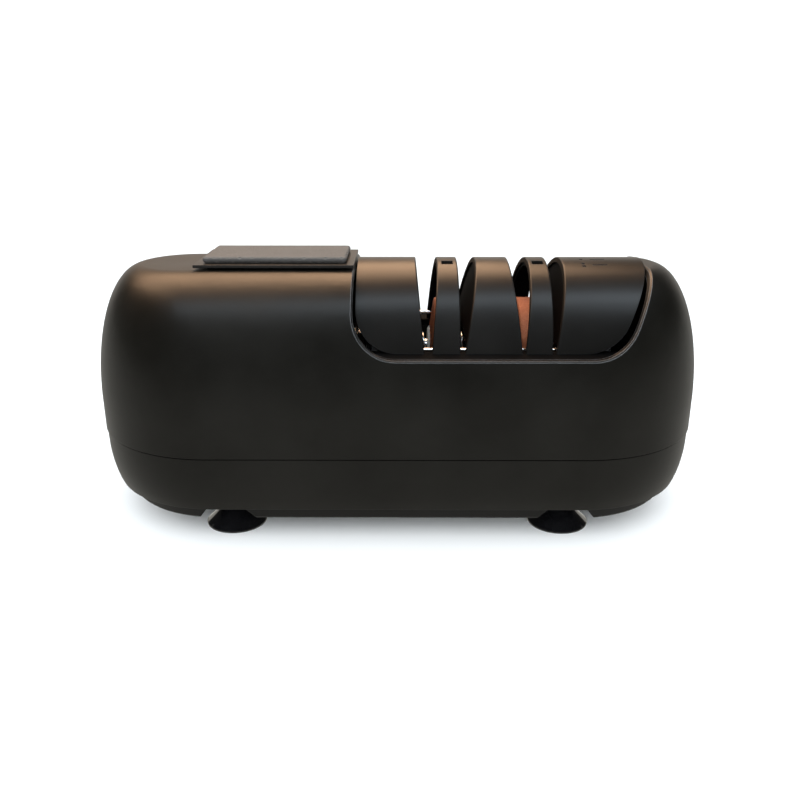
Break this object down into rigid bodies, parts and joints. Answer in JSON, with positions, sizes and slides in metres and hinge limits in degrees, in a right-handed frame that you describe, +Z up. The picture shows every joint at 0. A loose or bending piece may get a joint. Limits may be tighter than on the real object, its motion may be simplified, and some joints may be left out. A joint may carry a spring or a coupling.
{
  "type": "electric blade sharpener",
  "caption": "Capsule-shaped electric blade sharpener on suction cups, with V slots over sprung abrasive wheels and a honing stone on a tray.",
  "frame": {"origin": "on the surface that the suction cups stand on, under the middle of the body", "axes": "+X along the body towards the sharpening module, +Y to the back, +Z up"},
  "size_m": [0.21, 0.088, 0.0921],
  "materials": {
    "black_shell": "satin black moulded shell",
    "black_liner": "matte black inner plastic",
    "base_plastic": "fine-textured black",
    "cup_rubber": "glossy black soft vinyl",
    "zinc_steel": "zinc-plated steel",
    "chrome": "bright plated",
    "spring_steel": "bright spring wire",
    "abrasive_stage_one": "copper-coloured abrasive on a metal cone",
    "abrasive_stage_two": "finer copper-coloured abrasive",
    "hub_plastic": "pale acetal",
    "shaft_steel": "ground steel",
    "bearing_steel": "bearing steel",
    "grey_nylon": "glass-filled nylon",
    "coupling_aluminium": "turned aluminium",
    "motor_steel": "zinc-plated can",
    "motor_cap": "black phenolic",
    "motor_core": "varnished iron core",
    "switch_plastic": "gloss black",
    "rocker_plastic": "gloss black",
    "inlet_brass": "nickel over brass",
    "board_green": "green solder mask",
    "capacitor_sleeve": "blue sleeve",
    "terminal_plastic": "green terminal block",
    "tray_plastic": "thin black tray",
    "pad_foam": "black adhesive foam",
    "stone_grey": "dark grey fine-grained stone"
  },
  "bodies": {
    "housing": {"upper_casing": "black_shell", "lower_casing": "black_shell", "left_guide_block": "black_shell", "middle_guide_block": "black_shell", "right_guide_block": "black_shell", "stage_one_fin": "black_shell", "stage_two_fin": "black_shell", "module_frame": "black_shell", "left_guide_liner": "black_liner", "middle_guide_liner": "black_liner", "right_guide_liner": "black_liner", "stage_one_fin_liner": "black_liner", "stage_two_fin_liner": "black_liner", "dust_trough": "black_liner", "base_cover": "base_plastic", "front_left_suction_cup": "cup_rubber", "front_right_suction_cup": "cup_rubber", "rear_left_suction_cup": "cup_rubber", "rear_right_suction_cup": "cup_rubber", "front_left_screw": "zinc_steel", "front_right_screw": "zinc_steel", "rear_left_screw": "zinc_steel", "rear_right_screw": "zinc_steel", "front_motor_screw": "zinc_steel", "rear_motor_screw": "zinc_steel", "motor_bracket": "zinc_steel", "front_stop_rod": "chrome", "rear_stop_rod": "chrome", "left_bearing": "bearing_steel", "right_bearing": "bearing_steel", "left_bearing_block": "grey_nylon", "right_bearing_block": "grey_nylon", "motor_can": "motor_steel", "motor_end_cap": "motor_cap", "switch_housing": "switch_plastic", "power_inlet": "switch_plastic", "inlet_pin": "inlet_brass", "inlet_nut": "inlet_brass", "circuit_board": "board_green", "board_capacitor": "capacitor_sleeve", "board_terminal": "terminal_plastic", "stone_tray": "tray_plastic", "tray_pad": "pad_foam", "honing_stone": "stone_grey"},
    "rotor": {"wheel_shaft": "shaft_steel", "left_spring_collar": "shaft_steel", "middle_spring_collar": "shaft_steel", "right_spring_collar": "shaft_steel", "shaft_coupling": "coupling_aluminium", "motor_shaft": "shaft_steel", "motor_armature": "motor_core", "stage_one_left_spring": "spring_steel", "stage_one_right_spring": "spring_steel", "stage_two_left_spring": "spring_steel", "stage_two_right_spring": "spring_steel"},
    "stage_one": {"stage_one_wheel": "abrasive_stage_one", "stage_one_hub": "hub_plastic"},
    "stage_two": {"stage_two_wheel": "abrasive_stage_two", "stage_two_hub": "hub_plastic"},
    "rocker": {"switch_rocker": "rocker_plastic"}
  },
  "joints": [
    {"name": "rotor_spin", "type": "hinge", "parent": "housing", "child": "rotor", "pos_m": [0, 0, 0.0578], "axis": [1, 0, 0], "continuous": true},
    {"name": "stage_one_float", "type": "slide", "parent": "rotor", "child": "stage_one", "axis": [1, 0, 0], "range_m": [-0.0006, 0.0006], "stiffness_N_per_m": 2000, "deforming": ["stage_one_left_spring", "stage_one_right_spring"]},
    {"name": "stage_two_float", "type": "slide", "parent": "rotor", "child": "stage_two", "axis": [1, 0, 0], "range_m": [-0.0006, 0.0006], "stiffness_N_per_m": 2000, "deforming": ["stage_two_left_spring", "stage_two_right_spring"]},
    {"name": "switch_rock", "type": "hinge", "parent": "housing", "child": "rocker", "pos_m": [-0.042, 0.0392, 0.0452], "axis": [0, 0, 1], "range_deg": [0, 20]}
  ]
}
